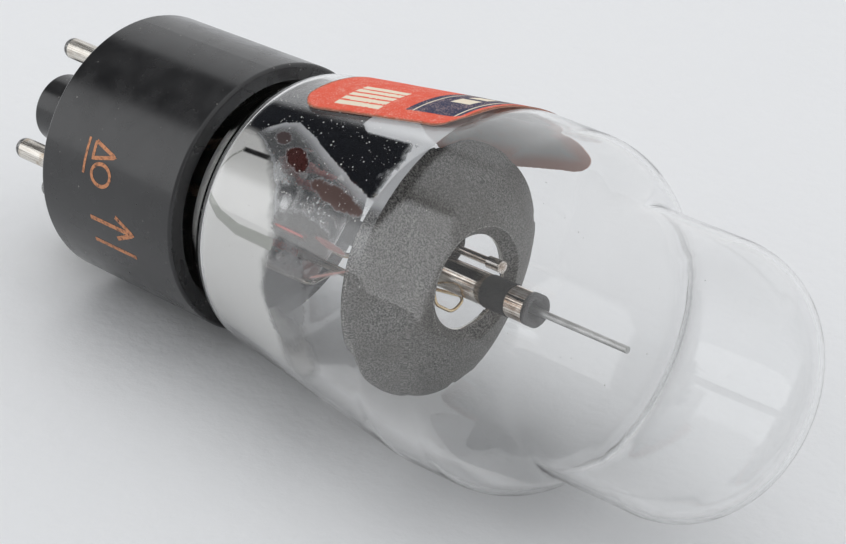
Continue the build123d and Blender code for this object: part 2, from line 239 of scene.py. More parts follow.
class Shader(Nodes):
    """A material with one Principled shader, and short ways to add nodes that feed it."""

    def __init__(self, name, **constants):
        self.material = bpy.data.materials.new(name)
        self.material.use_nodes = True
        super().__init__(self.material.node_tree)
        self.principled = self.tree.nodes["Principled BSDF"]
        for socket, value in constants.items():
            self.principled.inputs[socket.replace("_", " ")].default_value = value

    def feed(self, output, socket):
        """Links an output to a socket of the Principled shader."""
        self.join(output, self.principled, socket)

    def place(self, stretch=(1.0, 1.0, 1.0)):
        """Object coordinates in mm, scaled by stretch."""
        coordinates = self.add("ShaderNodeTexCoord")
        mapping = self.add("ShaderNodeMapping")
        mapping.inputs["Scale"].default_value = [s / MM for s in stretch]
        self.join(coordinates.outputs["Object"], mapping, "Vector")
        return mapping.outputs["Vector"]

    def noise(self, size, detail=3.0, roughness=0.55, stretch=(1.0, 1.0, 1.0)):
        """Noise with features of a size in mm, from 0 to 1."""
        made = self.add("ShaderNodeTexNoise")
        made.inputs["Scale"].default_value = 1.0 / size
        made.inputs["Detail"].default_value = detail
        made.inputs["Roughness"].default_value = roughness
        self.join(self.place(stretch), made, "Vector")
        return made.outputs["Fac"]

    def along_tube(self):
        """The place along the tube, in mm."""
        split = self.add("ShaderNodeSeparateXYZ")
        self.join(self.place(), split, "Vector")
        return split.outputs["X"]

    def spots(self, size, share, softness=0.05):
        """Small round specks in cells of a size in mm, 1 in a speck. share is a speck's radius in cells."""
        cells = self.add("ShaderNodeTexVoronoi")
        cells.inputs["Scale"].default_value = 1.0 / size
        self.join(self.place(), cells, "Vector")
        return self.span(cells.outputs["Distance"], share + softness, share)

    def attribute(self, name, output="Fac"):
        made = self.add("ShaderNodeAttribute", attribute_name=name)
        return made.outputs[output]

    def span(self, value, start, end, to_start=0.0, to_end=1.0):
        """Maps start..end of a value to to_start..to_end, held at its ends."""
        made = self.add("ShaderNodeMapRange", interpolation_type="SMOOTHSTEP")
        self.join(value, made, "Value")
        made.inputs["From Min"].default_value = min(start, end)
        made.inputs["From Max"].default_value = max(start, end)
        made.inputs["To Min"].default_value = to_start if start < end else to_end
        made.inputs["To Max"].default_value = to_end if start < end else to_start
        return made.outputs["Result"]

    def blend(self, factor, a, b):
        """Colour a where factor is 0 and b where it is 1. Each is an output or (r, g, b)."""
        made = self.add("ShaderNodeMix", data_type="RGBA")
        sockets = [s for s in made.inputs if s.type == "RGBA"]
        self.tree.links.new(factor, made.inputs["Factor"])
        for socket, value in zip(sockets, (a, b)):
            if isinstance(value, tuple):
                socket.default_value = (*value, 1.0)
            else:
                self.tree.links.new(value, socket)
        return next(s for s in made.outputs if s.type == "RGBA")

    def bump(self, height, depth):
        """Relief of a depth in mm where height goes from 0 to 1."""
        made = self.add("ShaderNodeBump")
        made.inputs["Strength"].default_value = 1.0
        made.inputs["Distance"].default_value = depth * MM
        self.join(height, made, "Height")
        self.feed(made.outputs["Normal"], "Normal")

    def let_lamps_through(self, share=0.94):
        """Glass that casts a faint shadow, not a solid one: shadow rays keep a share of their light."""
        path = self.add("ShaderNodeLightPath")
        clear = self.add("ShaderNodeBsdfTransparent")
        clear.inputs["Color"].default_value = (share, share, share, 1.0)
        mix = self.add("ShaderNodeMixShader")
        out = self.tree.nodes["Material Output"]
        self.join(path.outputs["Is Shadow Ray"], mix, 0)
        self.join(self.principled.outputs["BSDF"], mix, 1)
        self.join(clear.outputs["BSDF"], mix, 2)
        self.join(mix.outputs["Shader"], out, "Surface")


# ---------------------------------------------------------------- materials
def make_phenolic():
    """Moulded black phenolic: satin gloss, a little pale dust and fine scratches."""
    m = Shader("phenolic", IOR=1.55, Coat_Weight=0.15, Coat_Roughness=0.08)
    dust = m.spots(1.1, 0.045)
    haze = m.span(m.noise(6.0, detail=4.0), 0.4, 0.8)
    scratches = m.span(m.noise(0.08, detail=2.0, stretch=(0.04, 1.0, 1.0)), 0.70, 0.80)
    marks = m.math("MULTIPLY", m.math("MAXIMUM", dust, m.math("MULTIPLY", scratches, 0.10)), haze)
    base = m.blend(haze, (0.011, 0.011, 0.012), (0.020, 0.020, 0.021))
    m.feed(m.blend(marks, base, (0.42, 0.41, 0.38)), "Base Color")
    m.feed(m.span(m.noise(2.5, detail=4.0), 0.3, 0.8, 0.20, 0.32), "Roughness")
    m.bump(m.noise(0.5, detail=3.0), 0.003)
    return m.material


def make_plating():
    """Nickel-plated brass pins: drawn lines along their length, tarnished in places."""
    m = Shader("pin_plating", Metallic=1.0)
    lines = m.noise(0.12, detail=4.0, stretch=(0.04, 1.0, 1.0))
    tarnish = m.span(m.noise(1.8, detail=6.0), 0.5, 0.72)
    bright = m.blend(m.span(lines, 0.3, 0.7), (0.50, 0.46, 0.41), (0.86, 0.83, 0.77))
    m.feed(m.blend(tarnish, bright, (0.42, 0.33, 0.24)), "Base Color")
    m.feed(m.span(lines, 0.3, 0.75, 0.16, 0.36), "Roughness")
    m.bump(lines, 0.02)
    return m.material


def make_solder():
    """Dull tin-lead solder with a wrinkled skin."""
    m = Shader("solder", Metallic=0.85)
    grain = m.noise(0.3, detail=6.0)
    m.feed(m.blend(m.span(grain, 0.35, 0.7), (0.10, 0.10, 0.10), (0.40, 0.40, 0.39)), "Base Color")
    m.feed(m.span(grain, 0.3, 0.7, 0.5, 0.3), "Roughness")
    m.bump(grain, 0.08)
    return m.material


def make_cement():
    """Dark basing cement, matt and crumbly."""
    m = Shader("cement")
    grain = m.noise(0.4, detail=8.0, roughness=0.7)
    m.feed(m.blend(grain, (0.012, 0.011, 0.010), (0.05, 0.045, 0.04)), "Base Color")
    m.feed(m.span(grain, 0.2, 0.8, 0.7, 0.95), "Roughness")
    m.bump(grain, 0.15)
    return m.material


def make_bulb_glass():
    """Clear blown glass, faintly wavy."""
    m = Shader("bulb_glass", Transmission_Weight=1.0, IOR=1.5, Roughness=0.0)
    m.principled.inputs["Base Color"].default_value = (0.995, 0.997, 0.997, 1.0)
    wave = m.noise(9.0, detail=1.0, stretch=(0.6, 1.0, 1.0))
    m.bump(wave, 0.03)
    m.let_lamps_through()
    return m.material


def make_stem_glass():
    """Thicker stem glass with small bubbles and strain waves in it."""
    m = Shader("stem_glass", Transmission_Weight=1.0, IOR=1.54, Roughness=0.02)
    m.principled.inputs["Base Color"].default_value = (0.95, 0.955, 0.945, 1.0)
    wave = m.noise(1.1, detail=4.0)
    bubbles = m.spots(0.8, 0.2, softness=0.08)
    m.bump(m.math("ADD", wave, m.math("MULTIPLY", bubbles, 0.6)), 0.22)
    m.let_lamps_through()
    return m.material


def make_metal(name, dark, light, line_length, low_gloss, high_gloss, relief=0.004, burnt_from=None):
    """Drawn wire or tube with lines along X. burnt_from is the place, in mm, where its dark end starts."""
    m = Shader(name, Metallic=1.0)
    lines = m.noise(0.14, detail=4.0, stretch=(0.14 / line_length, 1.0, 1.0))
    blotches = m.noise(2.2, detail=4.0)
    tone = m.math("MULTIPLY", m.math("ADD", lines, blotches), 0.5)
    colour = m.blend(m.span(tone, 0.38, 0.6), dark, light)
    if burnt_from is not None:
        burnt = m.span(m.along_tube(), burnt_from, burnt_from + 0.5)
        colour = m.blend(burnt, colour, (0.045, 0.038, 0.032))
    m.feed(colour, "Base Color")
    m.feed(m.span(lines, 0.3, 0.7, low_gloss, high_gloss), "Roughness")
    m.bump(lines, relief)
    return m.material


def make_coated_nickel():
    """Grey sprayed coating with a fine grain, rubbed through to metal where the mesh says it is worn."""
    m = Shader("coated_nickel")
    grain = m.noise(0.17, detail=2.0, roughness=0.8)
    cloud = m.noise(6.0, detail=5.0)
    streaks = m.noise(2.0, detail=3.0, stretch=(1.0, 0.25, 1.0))
    worn = m.attribute("worn")
    coat = m.blend(m.span(grain, 0.36, 0.66), (0.020, 0.019, 0.019), (0.330, 0.318, 0.298))
    coat = m.blend(m.span(cloud, 0.40, 0.68, 0.0, 0.45), coat, (0.105, 0.095, 0.083))
    coat = m.blend(m.span(streaks, 0.5, 0.8, 0.0, 0.35), coat, (0.055, 0.053, 0.052))
    specks = m.span(m.noise(0.30, detail=1.0), 0.74, 0.80)
    coat = m.blend(specks, coat, (0.45, 0.44, 0.42))
    rubbed = m.span(m.math("ADD", worn, m.math("MULTIPLY", grain, 0.5)), 1.0, 1.12)
    m.feed(m.blend(rubbed, coat, (0.80, 0.78, 0.74)), "Base Color")
    m.feed(rubbed, "Metallic")
    m.feed(m.span(rubbed, 0.0, 1.0, 0.55, 0.22), "Roughness")
    m.bump(grain, 0.004)
    return m.material


def make_carbon_coating():
    """Dark sprayed band on the sleeve."""
    m = Shader("carbon_coating")
    grain = m.noise(0.12, detail=5.0, roughness=0.7)
    m.feed(m.blend(m.span(grain, 0.35, 0.7), (0.012, 0.012, 0.014), (0.07, 0.065, 0.06)), "Base Color")
    m.feed(m.span(grain, 0.3, 0.7, 0.75, 0.5), "Roughness")
    m.bump(grain, 0.04)
    return m.material


def make_film():
    """The getter's deposit: a mirror with hazy and burnt places and a painted glow inside the dark film's
    border, all set point by point on the mesh.
    """
    m = Shader("getter_mirror")
    streaks = m.noise(1.5, detail=5.0)
    m.feed(m.attribute("film_tint", "Color"), "Base Color")
    m.feed(m.attribute("film_metal"), "Metallic")
    m.feed(m.attribute("film_cover"), "Alpha")
    gloss = m.span(m.attribute("film_metal"), 0.05, 0.25, 0.12, 0.38)
    m.feed(m.math("ADD", gloss, m.span(streaks, 0.3, 0.8, 0.0, 0.06)), "Roughness")
    return m.material


def make_label_paper():
    """Printed paper: fibres show through the ink."""
    m = Shader("label_paper")
    fibres = m.noise(0.16, detail=5.0, roughness=0.7)
    patches = m.noise(1.3, detail=4.0)
    ink = m.attribute("ink", "Color")
    weave = m.math("ADD", m.math("MULTIPLY", fibres, 0.75), m.math("MULTIPLY", patches, 0.25))
    thin = m.span(weave, 0.47, 0.68)
    m.feed(m.blend(m.math("MULTIPLY", thin, 0.62), ink, (0.88, 0.62, 0.52)), "Base Color")
    m.feed(m.span(fibres, 0.3, 0.7, 0.75, 0.95), "Roughness")
    m.bump(fibres, 0.05)
    return m.material


def make_copper(name, dark, light):
    m = Shader(name, Metallic=1.0)
    tone = m.noise(0.9, detail=5.0)
    m.feed(m.blend(m.span(tone, 0.35, 0.65), dark, light), "Base Color")
    m.feed(m.span(tone, 0.3, 0.7, 0.25, 0.5), "Roughness")
    m.bump(m.noise(0.1, detail=2.0), 0.01)
    return m.material


def make_seal():
    """The copper oxide skin of a seal, seen red through the glass."""
    m = Shader("copper_seal", Roughness=0.4)
    tone = m.noise(0.8, detail=4.0)
    m.feed(m.blend(m.span(tone, 0.35, 0.65), (0.35, 0.035, 0.02), (0.72, 0.16, 0.11)), "Base Color")
    m.bump(tone, 0.02)
    return m.material


def make_ink():
    """Worn copper-coloured printing on the base."""
    m = Shader("base_ink", Metallic=0.35, Roughness=0.45)
    wear = m.noise(0.35, detail=6.0, roughness=0.7)
    m.feed(m.blend(m.span(wear, 0.40, 0.70), (0.62, 0.26, 0.12), (0.22, 0.10, 0.06)), "Base Color")
    m.feed(m.span(wear, 0.58, 0.68, 1.0, 0.0), "Alpha")
    return m.material


def make_dust():
    m = Shader("dust", Roughness=0.9)
    tone = m.noise(0.5, detail=3.0)
    m.feed(m.blend(tone, (0.45, 0.44, 0.42), (0.80, 0.79, 0.76)), "Base Color")
    m.bump(tone, 0.01)
    return m.material


def make_table_paper():
    """The pale sheet the tube lies on."""
    m = Shader("table_paper", Roughness=0.85)
    tooth = m.noise(2.6, detail=7.0, roughness=0.62)
    tone = m.noise(40.0, detail=2.0)
    m.feed(m.blend(tone, (0.825, 0.835, 0.85), (0.845, 0.853, 0.862)), "Base Color")
    m.bump(tooth, 0.16)
    return m.material


phenolic = make_phenolic()
plating = make_plating()
solder = make_solder()
cement = make_cement()
bulb_glass = make_bulb_glass()
stem_glass = make_stem_glass()
nickel = make_metal("nickel", (0.42, 0.36, 0.30), (0.84, 0.81, 0.77), 6.0, 0.12, 0.28)
bright_tube = make_metal(
    "bright_tube", (0.34, 0.25, 0.19), (0.88, 0.83, 0.76), 40.0, 0.07, 0.15, burnt_from=59.5
)
satin_wire = make_metal("satin_wire", (0.34, 0.34, 0.33), (0.52, 0.52, 0.51), 5.0, 0.30, 0.42)
gilded_wire = make_metal("gilded_wire", (0.62, 0.42, 0.22), (0.86, 0.70, 0.46), 5.0, 0.12, 0.25)
copper = make_copper("copper_wire", (0.45, 0.20, 0.11), (0.85, 0.50, 0.34))
seal = make_seal()
coated_nickel = make_coated_nickel()
carbon_coating = make_carbon_coating()
film_mirror = make_film()
label_paper = make_label_paper()
base_ink = make_ink()
dust = make_dust()

finish_of = {
    "phenolic": phenolic, "pin_plating": plating, "solder": solder, "cement": cement,
    "bulb_glass": bulb_glass, "stem_glass": stem_glass, "copper_seal": seal, "copper_wire": copper,
    "nickel": nickel, "coated_nickel": coated_nickel, "carbon_coating": carbon_coating,
    "getter_mirror": film_mirror, "label_paper": label_paper,
}
finish_of_node = {
    "starter_sleeve": bright_tube, "brace_rod": bright_tube, "anode_wire": satin_wire,
    "starter_hairpin": gilded_wire, "starter_wire": gilded_wire, "anode_insulator": carbon_coating,
}
for entry in frame["record"]["subparts"]:
    cad = nodes[entry["node"]]
    cad.data.materials.clear()
    cad.data.materials.append(finish_of_node.get(entry["node"], finish_of[entry["material_slot"]]))


# ---------------------------------------------------------------- bulb: blown glass with a real wall
def offset_inwards(profile, depth):
    """The profile moved a depth along its normals, towards the inside of the bulb."""
    steps = np.gradient(profile, axis=0)
    normals = np.stack([steps[:, 1], -steps[:, 0]], axis=1)
    normals /= np.linalg.norm(normals, axis=1)[:, None]
    inner = profile + normals * depth
    inner[-1, 1] = 0.0
    return inner


def make_bulb():
    turns = 224
    outer = glass_profile
    inner = offset_inwards(outer, GLASS_WALL)[::-1]
    points = []
    for ring, wave_depth in ((outer, 0.004), (inner, 0.012)):
        for x, radius in ring:
            for j in range(turns):
                angle = 360.0 * j / turns
                y, z = polar(radius, angle)
                wave = wave_depth * smooth(0.0, 3.0, radius) * ripple(x * 0.6, y, z, 9.0)
                points.append((x, *polar(max(radius + wave, 0.0), angle)))
    rows = len(outer) + len(inner)
    faces = grid_faces(rows, turns, closed=True) + join_ends(rows, turns)
    piece = add_mesh("bulb_glass", points, faces, bulb_glass)
    weld_poles(piece)
    return piece


def weld_poles(piece):
    """Merges the points that lie together where the dome meets the axis."""
    shape = bmesh.new()
    shape.from_mesh(piece.data)
    bmesh.ops.remove_doubles(shape, verts=shape.verts, dist=0.002 * MM)
    shape.to_mesh(piece.data)
    shape.free()
    piece.data.shade_smooth()


# ---------------------------------------------------------------- getter film on the bulb's inner wall
FILM_START, FILM_END = 22.6, 51.5
FILM_FIRST_ANGLE, FILM_LAST_ANGLE = 52.0, 286.0
# The white mirror's far edge, as (angle, x), and the dark film's lower border, as (x, angle)
MIRROR_EDGE = [(124, 28.5), (129, 31.0), (134, 33.3), (141, 35.2), (147, 36.6), (158, 38.0), (178, 37.6),
               (192, 39.9), (215, 39.4), (235, 36.0), (250, 33.0), (262, 29.0), (275, 24.0)]
FILM_BORDER = [(22, 126), (28.2, 126), (29.2, 121), (31.0, 116.5), (32.7, 115), (34.5, 117), (36.2, 119),
               (39.6, 124), (43.1, 128), (46.5, 132), (49.0, 134)]
BURNT_SPOTS = [  # x, angle, half length, half sweep, slant, colour, cover
    (42.0, 153.5, 5.2, 6.5, 0.3, (0.055, 0.052, 0.050), 0.78),
    (41.0, 177.0, 3.4, 19.0, 0.0, (0.11, 0.11, 0.112), 0.62),
    (32.4, 123.5, 1.3, 2.8, 0.5, (0.10, 0.075, 0.075), 0.93),
    (36.3, 130.0, 2.2, 3.9, 1.0, (0.060, 0.018, 0.016), 0.93),
    (44.6, 138.0, 4.6, 3.3, 0.5, (0.16, 0.105, 0.095), 0.93),
    (40.0, 154.2, 2.4, 0.55, 0.0, (0.50, 0.11, 0.09), 0.9),
    (47.3, 162.0, 3.0, 0.6, -1.4, (0.50, 0.27, 0.24), 0.8),
    (46.6, 153.0, 2.6, 1.2, 0.2, (0.22, 0.09, 0.08), 0.8),
]
BLACKENED = np.array((0.010, 0.011, 0.014))
PATCH_TINT = np.array((0.80, 0.795, 0.775))
# pale tint of the film's faint haze, which also paints the highlight glow along the dark film's border
HAZE_AND_GLOW_TINT = np.array((0.80, 0.81, 0.83))
STRAP_TINT = np.array((0.37, 0.38, 0.34))
BAR_TINT = np.array((0.02, 0.02, 0.02))
MIRROR_METAL = 0.28
BAR_ANGLE, BAR_HALF_SWEEP = 133, 1.1      # a short dark bar at the strap's first stop
FILM_GAP = 0.1                            # from the glass's inner face, so that the two never cross
STRAP_WALL_RADIUS = 15.0                  # turns the strap's angles into distances along the wall
STRAP_ROUTE = [(28.2, 133.0), (27.0, 137.0), (26.2, 142.0), (25.0, 149.0), (25.2, 153.5), (28.4, 160.0),
               (31.8, 162.3), (37.6, 161.6)]
STRAP_WIDTHS = [0.22, 0.22, 0.22, 0.25, 0.7, 1.0, 1.15, 1.2]


def strap_cover(x, arc):
    """1 on the strap painted on the deposit, at x and at an angle round the wall."""
    best = 0.0
    mm_per_degree = math.radians(1) * STRAP_WALL_RADIUS
    stops = [(px, pa * mm_per_degree) for px, pa in STRAP_ROUTE]
    for (ax, ay), (bx, by), w0, w1 in zip(stops, stops[1:], STRAP_WIDTHS, STRAP_WIDTHS[1:]):
        dx, dy = bx - ax, by - ay
        t = min(max(((x - ax) * dx + (arc * mm_per_degree - ay) * dy) / (dx * dx + dy * dy), 0.0), 1.0)
        away = math.hypot(x - ax - t * dx, arc * mm_per_degree - ay - t * dy)
        half = (w0 + (w1 - w0) * t) / 2
        best = max(best, 1.0 - smooth(half - 0.08, half + 0.08, away))
    return best


def dark_cover(x, angle, border, rag):
    """1 where the dark deposit above the mirror covers the wall."""
    upper = 1.0 - smooth(-0.5, 0.9, angle - border + rag)
    upper *= smooth(26.2, 27.4, x + 0.12 * (angle - 100.0) + 0.5 * rag)
    upper *= 1.0 - smooth(48.5, 51.0, x + 2 * rag)
    notch = smooth(110.5, 112.0, angle + 0.4 * rag) if x > 40.6 else 1.0
    return upper * max(notch, 1.0 - smooth(36.0 + 0.5 * (angle - 100), 37.0 + 0.5 * (angle - 100), x + rag))


def burn(x, angle, rag, tint, metal, cover):
    """The deposit with its burnt spots laid over it."""
    for sx, sa, length, sweep, slant, colour, most in BURNT_SPOTS:
        u = (x - sx) / length
        v = (angle - sa - slant * (x - sx)) / sweep
        speckle = 0.35 * ripple(x, angle * 0.26, 9.0, 0.22)
        burnt = 1.0 - smooth(0.75, 1.2, u * u + v * v + 0.8 * rag + speckle)
        if burnt > 0.0:
            tint = tint * (1 - burnt) + np.array(colour) * burnt
            metal *= 1 - burnt
            cover = max(cover, burnt * most)
    return tint, metal, cover


def film_at(x, angle):
    """(tint, metal, cover) of the deposit at a place on the wall, with a painted glow laid inside the dark
    film's border.
    """
    rag = 0.5 * ripple(x, angle * 0.26, 0.0, 1.6) + 0.25 * ripple(x, angle * 0.26, 5.0, 0.5)
    mirror = 1.0 - smooth(-1.4, 1.3, x - follow(MIRROR_EDGE, angle) + rag)
    mirror *= smooth(122.0, 127.0, angle + rag) * (1.0 - smooth(258.0, 276.0, angle + 6 * rag))
    border = follow(FILM_BORDER, x)
    cover = max(mirror, dark_cover(x, angle, border, rag))
    tint = BLACKENED * (1 - mirror) + PATCH_TINT * mirror
    metal = MIRROR_METAL * mirror
    # Painted highlight: a pale glow in the clear part of the film, strongest just inside the dark film's
    # border. Beyond the glow, the clear part keeps only a faint, even real haze.
    painted_glow = (1.0 - smooth(0.0, 7.5, angle - border)) * smooth(28.0, 30.0, x)
    haze_and_painted_glow = 0.10 + 0.62 * painted_glow * painted_glow
    if cover < 0.5 and angle < 156 and x > 28:
        tint, metal = HAZE_AND_GLOW_TINT, 0.0
        cover = max(cover, haze_and_painted_glow * smooth(156, 150, angle) if angle > 150 else haze_and_painted_glow)
    tint, metal, cover = burn(x, angle, rag, tint, metal, cover)
    strap = strap_cover(x, angle)
    tint = tint * (1 - strap) + STRAP_TINT * strap
    metal *= 1 - 0.75 * strap
    bar = (1 - smooth(0.75, 1.1, abs(angle - BAR_ANGLE) / BAR_HALF_SWEEP))
    bar = bar * smooth(27.8, 28.4, x) * (1 - smooth(32.0, 33.0, x))
    tint = tint * (1 - bar) + BAR_TINT * bar
    metal *= 1 - bar
    return tint, metal, max(cover, strap * (1.0 if x < 38 else 0.0), 0.9 * bar)


def make_film_piece():
    columns, rows = 600, 190
    inner = offset_inwards(glass_profile, GLASS_WALL + FILM_GAP)
    wall = inner[(inner[:, 0] > 20.0) & (inner[:, 0] < 60.0)]
    points, tints, metals, covers = [], [], [], []
    for i in range(rows):
        x = FILM_START + (FILM_END - FILM_START) * i / (rows - 1)
        radius = float(np.interp(x, wall[:, 0], wall[:, 1]))
        for j in range(columns):
            angle = FILM_FIRST_ANGLE + (FILM_LAST_ANGLE - FILM_FIRST_ANGLE) * j / (columns - 1)
            points.append((x, *polar(radius, angle)))
            tint, metal, cover = film_at(x, angle)
            tints.append(tint)
            metals.append(metal)
            covers.append(cover)
    piece = add_mesh("getter_mirror", points, grid_faces(rows, columns), film_mirror)
    set_colours(piece, "film_tint", tints)
    set_numbers(piece, "film_metal", metals)
    set_numbers(piece, "film_cover", covers)
    return piece


# ---------------------------------------------------------------- paper label
ORANGE_RED = (0.80, 0.105, 0.055)
NAVY = (0.016, 0.025, 0.075)
CREAM = (0.86, 0.78, 0.62)
STAIN = (0.20, 0.085, 0.03)
BARE_PAPER = (0.80, 0.80, 0.78)
SOAKED_INK = (0.84, 0.36, 0.26)
NAVY_START, NAVY_END = 43.6, 50.9
NAVY_EDGE = 11.0      # distance of the navy panel's sides from the label's middle line
CREAM_LINE = 0.28
CORNER_LIFT = 0.45    # of the label's corner nearest the dome, which has come unstuck
PAPER_GAP = 0.03      # from the glass to the paper
BAR_ROWS = [(34.6, 40.6, 7.0, 12.0, 5), (46.0, 48.6, -7.5, 8.0, 6)]  # x from, x to, side from, side to, bars


def ink_at(x, side):
    """The label's printed colour, at x and at a distance round from its middle line."""
    if NAVY_START < x < NAVY_END and abs(side) < NAVY_EDGE:
        for line_x in (NAVY_START + 0.9, NAVY_END - 0.9):
            if abs(x - line_x) < CREAM_LINE / 2:
                return CREAM
        paper = NAVY
    else:
        paper = ORANGE_RED
    for x_from, x_to, side_from, side_to, bars in BAR_ROWS:
        place = (side - side_from) / (side_to - side_from) * bars
        if x_from < x < x_to and 0 < place < bars and place % 1.0 < 0.72:
            return CREAM
    return paper


def label_outline(x):
    """Half the label's width at x, less towards its rounded ends."""
    from_end = min(x - LABEL_START, LABEL_END - x)
    inset = 0.0
    if from_end < LABEL_CORNER:
        inset = LABEL_CORNER - math.sqrt(LABEL_CORNER**2 - (LABEL_CORNER - from_end) ** 2)
    return LABEL_WIDTH / 2 - inset + 0.07 * ripple(x, 0.0, 3.0, 0.4)


def make_label():
    """Two layers of paper joined round their rim: printed outside, bare inside."""
    rows, columns = 236, 240
    points, inks = [], []
    for layer in (0, 1):
        for i in range(rows):
            x = LABEL_START + (LABEL_END - LABEL_START) * i / (rows - 1)
            half = label_outline(x)
            for j in range(columns):
                side = half * (2.0 * j / (columns - 1) - 1.0)
                angle = LABEL_ANGLE + math.degrees(side / glass_radius(x))
                lift = CORNER_LIFT * smooth(LABEL_END - 3.0, LABEL_END, x)
                lift *= smooth(2.0, LABEL_WIDTH / 2, side)
                lift += 0.02 * ripple(x, side, 0.0, 3.0)
                depth = LABEL_THICKNESS if layer == 0 else 0.0
                points.append((x, *polar(glass_radius(x) + PAPER_GAP + depth + lift, angle)))
                edge = min(LABEL_END - x, x - LABEL_START, half - abs(side))
                inks.append(printed_at(x, side, edge) if layer == 0 else bare_at(edge))
    one = rows * columns
    faces = grid_faces(rows, columns) + [f[::-1] for f in grid_faces(rows, columns, start=one)]
    rim = list(range(columns)) + [i * columns + columns - 1 for i in range(1, rows)]
    rim += [one - 1 - k for k in range(1, columns)] + [i * columns for i in range(rows - 2, 0, -1)]
    faces += [(a, b, b + one, a + one) for a, b in zip(rim, rim[1:] + rim[:1])]
    piece = add_mesh("printed_label", points, faces, label_paper)
    set_colours(piece, "ink", inks)
    return piece


def printed_at(x, side, edge):
    """The outer face's colour: stained brown along its edges."""
    stained = 0.8 * smooth(0.40, 0.0, edge + 0.12 * ripple(x, side, 1.0, 0.3))
    if x > LABEL_END - 0.5:
        stained = 0.8
    return np.array(ink_at(x, side)) * (1 - stained) + np.array(STAIN) * stained


def bare_at(edge):
    """The glued face's colour: pale, with ink soaked through near the edges."""
    soaked = 0.85 * smooth(3.4, 0.9, edge)
    return np.array(BARE_PAPER) * (1 - soaked) + np.array(SOAKED_INK) * soaked


# ---------------------------------------------------------------- cathode disc
DISC_EDGE_X, DISC_THICKNESS = 46.6, 0.5
RIDGE_RADIUS, RIDGE_X = 6.4, 51.3
HOLE_RADIUS, HOLE_X = 5.15, 50.2
DISH_RADIUS = 30.0
EDGE_CHIPS = [(7, 0.3), (-9, 0.45), (-13, 0.3), (-67, 0.4), (-85, 0.3)]


def dish_profile():
    """The disc's front face from its outer edge over the ridge to the hole, as (x, r) points."""
    start, end = Vector((DISC_EDGE_X, DISC_RADIUS)), Vector((RIDGE_X, RIDGE_RADIUS))
    chord = end - start
    middle = (start + end) / 2
    normal = Vector((chord.y, -chord.x)).normalized()
    depth = math.sqrt(DISH_RADIUS**2 - (chord.length / 2) ** 2)
    centre = middle + normal * depth if normal.x < 0 else middle - normal * depth
    first = math.atan2(start.y - centre.y, start.x - centre.x)
    last = math.atan2(end.y - centre.y, end.x - centre.x)
    arc = []
    for k in range(49):
        angle = first + (last - first) * k / 48
        arc.append((centre.x + DISH_RADIUS * math.cos(angle), centre.y + DISH_RADIUS * math.sin(angle)))
    ridge = [(RIDGE_X + 0.10, RIDGE_RADIUS - 0.06), (RIDGE_X + 0.12, RIDGE_RADIUS - 0.16),
             (RIDGE_X - 0.04, RIDGE_RADIUS - 0.26)]
    bevel = [(RIDGE_X + (HOLE_X - RIDGE_X) * k / 8, RIDGE_RADIUS + (HOLE_RADIUS - RIDGE_RADIUS) * k / 8)
             for k in range(3, 9)]
    return arc + ridge + bevel


def make_disc():
    turns = 480
    front = dish_profile()
    back = [(x - DISC_THICKNESS, r) for x, r in front[::-1]]
    ring = front + [(HOLE_X - DISC_THICKNESS / 2, HOLE_RADIUS - 0.03)] + back
    ring += [(DISC_EDGE_X - DISC_THICKNESS / 2, DISC_RADIUS + 0.02)]
    points, worn = [], []
    for x, radius in ring:
        for j in range(turns):
            angle = 360.0 * j / turns
            y, z = polar(1.0, angle)
            near_edge = smooth(DISC_RADIUS - 0.8, DISC_RADIUS, radius)
            chip = 0.0
            for place, depth in EDGE_CHIPS:
                away = (angle - place + 180.0) % 360.0 - 180.0
                chip = max(chip, depth * (1 - smooth(0.6, 2.6, abs(away))))
            bite = chip + 0.04 * max(0.0, ripple(y * 14, z * 14, 0.0, 0.8))
            wave = 0.04 * ripple(y * radius, z * radius, 2.0, 6.0)
            points.append((x + wave, *polar(radius - bite * near_edge, angle)))
            edge_wear = 0.75 * smooth(DISC_RADIUS - 0.16, DISC_RADIUS - 0.02, radius)
            ridge_wear = 0.82 * (1 - smooth(0.03, 0.13, abs(radius - RIDGE_RADIUS + 0.06)))
            hole_wear = 0.9 * (1 - smooth(0.02, 0.15, radius - HOLE_RADIUS))
            worn.append(max(edge_wear, ridge_wear, hole_wear))
    rows = len(ring)
    faces = grid_faces(rows, turns, closed=True) + join_ends(rows, turns)
    piece = add_mesh("cathode_plate", points, faces, coated_nickel)
    set_numbers(piece, "worn", worn)
    return piece


# ---------------------------------------------------------------- charred rim at the sleeve's open end
SLEEVE_END, SLEEVE_RADIUS = 60.2, 1.7


def make_sleeve_rim():
    turns = 72
    ring = [  # x from the sleeve's end, radius, and how uneven it is
        (-0.55, SLEEVE_RADIUS + 0.03, 0.0), (0.0, SLEEVE_RADIUS + 0.06, 0.02),
        (0.1, SLEEVE_RADIUS - 0.1, 0.03), (0.08, 1.15, 0.12), (-0.3, 0.95, 0.22),
        (-1.0, 0.85, 0.15), (-1.3, 0.42, 0.0),
    ]
    points = []
    for dx, radius, uneven in ring:
        for j in range(turns):
            angle = 360.0 * j / turns
            y, z = polar(2.0, angle)
            points.append((SLEEVE_END + dx, *polar(radius + uneven * ripple(y, z, dx, 0.9), angle)))
    faces = grid_faces(len(ring), turns, closed=True)
    return add_mesh("sleeve_rim", points, faces, carbon_coating)


# ---------------------------------------------------------------- press of the stem, pinched while soft
PRESS_BOTTOM, PRESS_START, PRESS_TOP = 23.0, 25.5, 31.5
STEM_RADIUS, PRESS_HALF_WIDTH, PRESS_HALF_THICKNESS = 6.0, 6.5, 1.8


